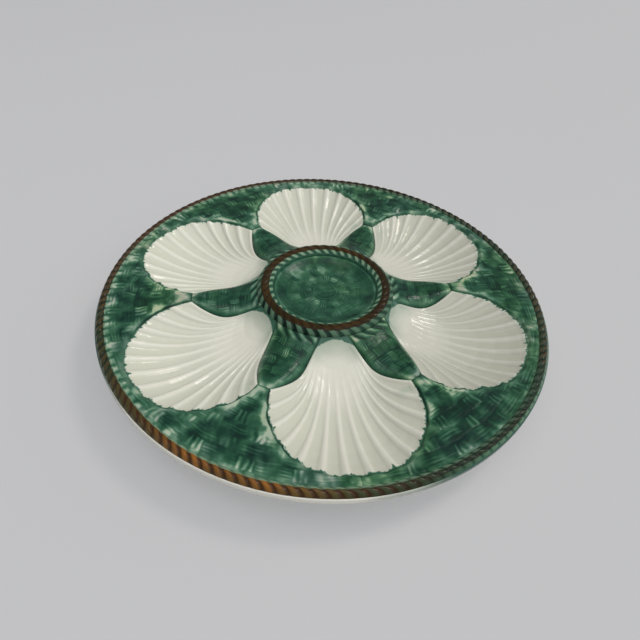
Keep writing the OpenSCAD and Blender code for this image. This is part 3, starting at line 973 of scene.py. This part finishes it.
def finish_glaze(t, surface, colour, shine, fine, rough, height, depth):
    """Gives a glaze its colour, shine, uneven gloss and swelling; gives its roughness."""
    t.give(surface.inputs["Base Color"], colour)
    surface.inputs["Specular IOR Level"].default_value = shine
    skin = effect(t, "glaze_skin", fine, rough, height, depth)
    t.give(surface.inputs["Roughness"], skin["Roughness"])
    t.give(surface.inputs["Normal"], skin["Normal"])
    return skin["Roughness"]


GREENS = ((0.00, (0.005, 0.026, 0.018)), (0.20, (0.009, 0.048, 0.028)), (0.42, (0.024, 0.092, 0.050)),
          (0.62, (0.057, 0.154, 0.092)), (0.80, (0.150, 0.275, 0.182)), (1.00, (0.400, 0.480, 0.360)))
WHITES = ((0.590, 0.583, 0.504), (0.735, 0.727, 0.629))


def green_glaze():
    """Deep green where it pooled and pale where it ran thin, a little mossy and slaty."""
    material, t, surface = new_material("green_glaze")
    wide, fine = effect(t, "glaze_mottle", 42.0, 260.0)
    sway = t.math("MULTIPLY_ADD", wide, 0.30, -0.15)
    grain = t.math("MULTIPLY_ADD", fine, 0.20, -0.10)
    amount = t.plus(t.plus(layer(t, "thin"), sway), grain)
    colour = ramp(t, amount, GREENS)
    moss, slate = effect(t, "glaze_mottle", 30.0, 75.0)
    colour = shade(t, between(t, moss, 0.50, 0.62), colour, (1.0, 1.0, 0.84))
    colour = shade(t, between(t, slate, 0.52, 0.62), colour, (1.0, 0.88, 1.0))
    finish_glaze(t, surface, colour, 0.22, fine, 0.20, fine, 0.0002)
    return material


def shell_glaze():
    """White, painted lighter or darker per well as painted light, darker in the flutes as pooled glaze
    and painted shade, with the green that crept in at ears, edge and throat.
    """
    material, t, surface = new_material("shell_glaze")
    wide, fine = effect(t, "glaze_mottle", 55.0, 700.0)
    # Darker in the flutes: partly glaze pooled in them, partly painted shade
    valley = between(t, layer(t, "valley"), 0.15, 0.80)
    # The white is painted lighter or darker per well, as painted light and shade
    colour = tint(t, layer(t, "pale"), *WHITES)
    colour = shade(t, t.times(valley, 0.55), colour, (0.725, 0.748, 0.688))
    by_ear = between(t, layer(t, "ear"), 13.0, 1.0)
    ear = t.times(by_ear, between(t, wide, 0.52, 0.72))
    colour = tint(t, t.times(ear, 0.75), colour, (0.26, 0.40, 0.29))
    by_margin = between(t, layer(t, "margin"), 3.0, 0.5)
    ragged = t.times(by_margin, between(t, fine, 0.50, 0.72))
    rim = t.math("SUBTRACT", layer(t, "rim"), t.times(ragged, 0.6))
    by_rim = t.times(between(t, rim, 0.5, -0.1), 0.5)
    colour = tint(t, by_rim, colour, (0.30, 0.42, 0.31))
    colour = tint(t, between(t, rim, 0.05, -0.45), colour, (0.032, 0.115, 0.070))
    throat = t.plus(layer(t, "throat"), t.math("MULTIPLY_ADD", fine, 1.2, -0.6))
    by_throat = t.times(between(t, throat, 11.0, 0.2), 0.62)
    colour = tint(t, by_throat, colour, (0.24, 0.34, 0.25))
    colour = tint(t, between(t, throat, 1.1, 0.5), colour, (0.040, 0.128, 0.082))
    finish_glaze(t, surface, colour, 0.38, fine, 0.13, wide, 0.0005)
    return material


def rim_colour(t, share):
    """Brown round the rim: dark behind, amber at the front left, green at the front right."""
    return ramp(t, share, (
        (0.000, (0.070, 0.040, 0.013)), (0.040, (0.056, 0.044, 0.016)), (0.115, (0.066, 0.050, 0.016)),
        (0.145, (0.190, 0.080, 0.016)), (0.200, (0.180, 0.078, 0.014)), (0.225, (0.110, 0.066, 0.016)),
        (0.248, (0.042, 0.052, 0.020)), (0.300, (0.020, 0.034, 0.016)), (0.400, (0.022, 0.034, 0.018)),
        (0.430, (0.075, 0.045, 0.016)), (0.500, (0.055, 0.046, 0.025)), (0.700, (0.038, 0.030, 0.013)),
        (0.900, (0.070, 0.032, 0.012)), (1.000, (0.070, 0.040, 0.013))))


def rim_brown_glaze():
    """Brown over the crest, beads of thin green along its inner side, green down its outer."""
    material, t, surface = new_material("rim_brown_glaze")
    wide, fine = effect(t, "glaze_mottle", 60.0, 420.0)
    across, crest = effect(t, "rope_strand", fine)
    share, green = effect(t, "glaze_place", 0.5)
    amber = by_turn(t, share, ((0.115, 0), (0.145, 1), (0.200, 1), (0.232, 0)))
    amber = t.times(amber, between(t, wide, 0.50, 0.64))
    colour = tint(t, t.times(amber, 0.7), rim_colour(t, share), (0.300, 0.112, 0.016))
    # Painted shade: the grooves between strands are painted darker, brown, or green where green ran
    gap = tint(t, green, (0.046, 0.018, 0.005), (0.009, 0.016, 0.008))
    colour = tint(t, t.times(between(t, crest, 1.0, 0.38), 0.95), colour, gap)
    wash = t.times(t.times(between(t, wide, 0.48, 0.66), green), 0.5)
    colour = tint(t, wash, colour, (0.014, 0.040, 0.022))
    beads_seen = by_turn(t, share, (
        (0.00, 1.0), (0.10, 1.0), (0.25, 0.90), (0.33, 0.45), (0.42, 0.12), (0.56, 0.12), (0.66, 0.5),
        (0.80, 0.75), (0.95, 1.0)))
    between_beads = tint(t, green, (0.105, 0.175, 0.105), (0.030, 0.086, 0.053))
    left = by_turn(t, share, ((0.00, 1), (0.10, 1), (0.16, 0), (0.56, 0), (0.68, 1)))
    pale = tint(t, left, (0.165, 0.275, 0.180), (0.200, 0.325, 0.220))
    bead = tint(t, between(t, crest, 0.30, 0.80), between_beads, pale)
    start = t.math("MULTIPLY_ADD", left, -0.42, -0.18)
    by_inside = between(t, across, start, t.math("SUBTRACT", start, 0.16))
    inside = t.times(by_inside, beads_seen)
    colour = tint(t, inside, colour, bead)
    colour = tint(t, between(t, across, -0.93, -1.0), colour, (0.034, 0.105, 0.062))
    # Painted shade: the green strands down the outer side are painted darker in their grooves
    flank = tint(t, between(t, crest, 0.20, 0.80), (0.036, 0.098, 0.056), (0.090, 0.190, 0.110))
    flank_seen = by_turn(t, share, (
        (0.10, 0.15), (0.28, 0), (0.33, 1), (0.60, 1), (0.68, 0.2), (1.00, 0.1)))
    outside = t.times(between(t, across, 0.52, 0.70), flank_seen)
    colour = tint(t, outside, colour, flank)
    finish_glaze(t, surface, colour, 0.20, fine, 0.14, fine, 0.0003)
    return material


def well_brown_glaze():
    """Brown over the crest, small beads inside it and green strands below it outside."""
    material, t, surface = new_material("well_brown_glaze")
    wide, fine = effect(t, "glaze_mottle", 45.0, 420.0)
    across, crest = effect(t, "rope_strand", fine)
    colour = tint(t, between(t, wide, 0.38, 0.62), (0.028, 0.018, 0.005), (0.052, 0.029, 0.008))
    # Painted shade: the grooves between strands are painted darker
    in_groove = t.times(between(t, crest, 0.95, 0.15), 0.72)
    colour = tint(t, in_groove, colour, (0.018, 0.010, 0.005))
    colour = tint(t, between(t, across, 0.20, 0.50), colour, (0.026, 0.016, 0.007))
    bead = tint(t, between(t, crest, 0.58, 0.92), (0.022, 0.074, 0.044), (0.190, 0.305, 0.200))
    colour = tint(t, between(t, across, -0.40, -0.52), colour, bead)
    colour = tint(t, between(t, across, -0.80, -0.92), colour, (0.030, 0.098, 0.060))
    # Painted shade: the gaps between the green strands outside are painted dark, darkest round the
    # front
    deep = by_turn(t, effect(t, "glaze_place", 0.5)["Share"], (
        (0.00, 0.6), (0.06, 1.0), (0.21, 1.0), (0.27, 0.45), (0.60, 0.35), (0.90, 0.35)))
    gap = tint(t, deep, (0.028, 0.082, 0.050), (0.003, 0.014, 0.009))
    flank = tint(t, between(t, crest, 0.48, 0.95), gap, (0.085, 0.165, 0.105))
    colour = tint(t, between(t, across, 0.46, 0.60), colour, flank)
    finish_glaze(t, surface, colour, 0.12, fine, 0.12, fine, 0.0003)
    return material


def back_glaze():
    """Cream, with the green that ran down the wall, and bare ware where the foot stands."""
    material, t, surface = new_material("back_glaze")
    wide, fine = effect(t, "glaze_mottle", 38.0, 380.0)
    height = t.add("ShaderNodeSeparateXYZ", object_spot(t)).outputs[2]
    cream = t.times(between(t, fine, 0.45, 0.75), 0.35)
    colour = tint(t, cream, (0.80, 0.79, 0.70), (0.66, 0.64, 0.52))
    wall = between(t, t.math("MULTIPLY_ADD", fine, 0.002, height), 0.0203, 0.0225)
    run = t.times(effect(t, "glaze_place", wide)["Green"], wall)
    colour = tint(t, run, colour, (0.018, 0.090, 0.056))
    bare = between(t, height, 0.0009, 0.0004)
    colour = tint(t, bare, colour, (0.50, 0.37, 0.25))
    rough = finish_glaze(t, surface, colour, 0.50, fine, 0.12, wide, 0.0004)
    bare_rough = t.times(bare, 0.8)
    t.give(surface.inputs["Roughness"], t.math("MAXIMUM", rough, bare_rough))
    return material


# Floor, light and camera

def floor():
    """A plain pale sheet just under the foot, seen partly at a set paleness by the camera."""
    mesh = bpy.data.meshes.new("studio_floor")
    reach, z = 4.0, -0.05 * MM
    corners = [(-reach, -reach, z), (reach, -reach, z), (reach, reach, z), (-reach, reach, z)]
    mesh.from_pydata(corners, [], [(0, 1, 2, 3)])
    thing = in_scene("studio_floor", mesh)
    material, t, surface = new_material("floor_paper")
    surface.inputs["Base Color"].default_value = (0.57, 0.57, 0.583, 1)
    surface.inputs["Roughness"].default_value = 0.6
    surface.inputs["Specular IOR Level"].default_value = 0.2
    pale = t.add("ShaderNodeEmission", (0.538, 0.540, 0.548, 1.0), 1.0)
    seen = t.times(t.add("ShaderNodeLightPath").outputs["Is Camera Ray"], 0.45)
    lit = t.add("ShaderNodeMixShader", seen, surface.outputs[0], pale.outputs[0])
    t.give(t.tree.nodes["Material Output"].inputs[0], lit.outputs[0])
    mesh.materials.append(material)


def lamp(name, toward, distance, size, power, colour):
    """A square soft lamp at a distance in metres, aimed at the plate."""
    data = bpy.data.lights.new(name, "AREA")
    data.shape = "SQUARE"
    data.size = size
    data.energy = power
    data.color = colour
    thing = in_scene(name, data)
    aim = Vector(toward).normalized()
    thing.location = aim * distance
    thing.rotation_mode = "QUATERNION"
    thing.rotation_quaternion = aim.to_track_quat("Z", "Y")


def studio():
    """A dim sky with a bright soft cap overhead, and three lamps."""
    bpy.context.scene.view_settings.view_transform = "Standard"
    world = bpy.data.worlds.new("studio")
    world.use_nodes = True
    t = Tree(world.node_tree)
    sky = world.node_tree.nodes["Background"]
    toward = t.add("ShaderNodeTexCoord").outputs["Generated"]
    overhead = t.add("ShaderNodeVectorMath", toward, (0.33, -0.39, 0.86), operation="DOT_PRODUCT")
    t.give(sky.inputs[0], ramp(t, overhead.outputs["Value"], (
        (0.0, (0.235, 0.238, 0.246)), (0.63, (0.238, 0.240, 0.248)),
        (0.87, (0.90, 0.91, 0.93)), (1.0, (0.97, 0.98, 1.0)))))
    sky.inputs[1].default_value = 1.25
    bpy.context.scene.world = world
    floor()
    lamp("lamp", (0.552, 0.199, 0.81), 4.0, 0.85, 36.0, (1.0, 0.96, 0.88))
    lamp("window", (0.910, 0.157, 0.37), 4.0, 1.80, 12.0, (1.0, 1.0, 1.0))
    lamp("ceiling", (-0.32, -0.10, 0.94), 0.95, 0.50, 1.25, (1.0, 0.99, 0.97))


def camera():
    """The photograph's place and lens, found from its rims and its six wells."""
    down, heading, roll = math.radians(45.15), math.radians(-9.84), math.radians(4.31)
    back = Vector((0, -math.cos(down), math.sin(down)))
    right = Vector((1, 0, 0))
    up = back.cross(right)
    side = right * math.cos(roll) + up * math.sin(roll)
    top = up * math.cos(roll) - right * math.sin(roll)
    turn = Matrix.Rotation(heading, 3, "Z")
    axes = Matrix([turn @ side, turn @ top, turn @ back]).transposed().to_4x4()
    data = bpy.data.cameras.new("camera")
    data.lens = 27.45
    data.sensor_width = 36.0
    thing = in_scene("camera", data)
    thing.matrix_world = Matrix.Translation((-0.03633, -0.20003, 0.20398)) @ axes
    bpy.context.scene.camera = thing


def dress(thing, material, slot, *nodes):
    """Finishes a piece: its material if it has none yet, its body and nodes; the slot is not used."""
    if material is not None:
        thing.data.materials.clear()
        thing.data.materials.append(material)
    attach(thing, "root")
    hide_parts(*nodes)


camera()
studio()
make_mottle()
make_place()
make_skin()
make_strand()
green = green_glaze()
white = shell_glaze()
back = back_glaze()
rim_brown = rim_brown_glaze()
well_brown = well_brown_glaze()

for k in range(WELLS):
    dress(shell_well(k), white, "shell_glaze", "shell_well_%d" % (k + 1))
    dress(basket_lobe(k), green, "green_glaze", "basket_lobe_%d" % (k + 1))
    dress(ground_panel(k), green, "green_glaze", "woven_ground")
dress(centre_dish(), green, "green_glaze", "centre_well")
dress(plate_back(), back, "back_glaze", "woven_ground", "centre_well")
dress(foot_ring(), back, "back_glaze", "foot_ring")

ropes = rope_tree()
dress(rope("centre_rope", ropes, well_brown, {
    "Inner Radius": DISH_R * MM, "Width": WELL_ROPE_W * MM,
    "Height": (WELL_ROPE_TOP - WELL_ROPE_SEAT) * MM, "Seat": WELL_ROPE_SEAT * MM,
    "Groove": 0.55 * MM, "Slant": 1.0, "Strands": WELL_STRANDS, "Strand Steps": 18, "Ring Steps": 64,
    "Seed": 3}), None, "brown_glaze", "well_rope")
dress(rope("rim_rope_twist", ropes, rim_brown, {
    "Inner Radius": (RIM_ROPE_OUT - RIM_ROPE_SHOWN_W) * MM, "Width": RIM_ROPE_SHOWN_W * MM,
    "Height": (RIM_ROPE_TOP - RIM_SEAT_H) * MM, "Seat": RIM_SEAT_H * MM,
    "Groove": 0.60 * MM, "Slant": 1.0, "Strands": RIM_STRANDS, "Strand Steps": 12, "Ring Steps": 48,
    "Seed": 8}), None, "brown_glaze", "rim_rope")
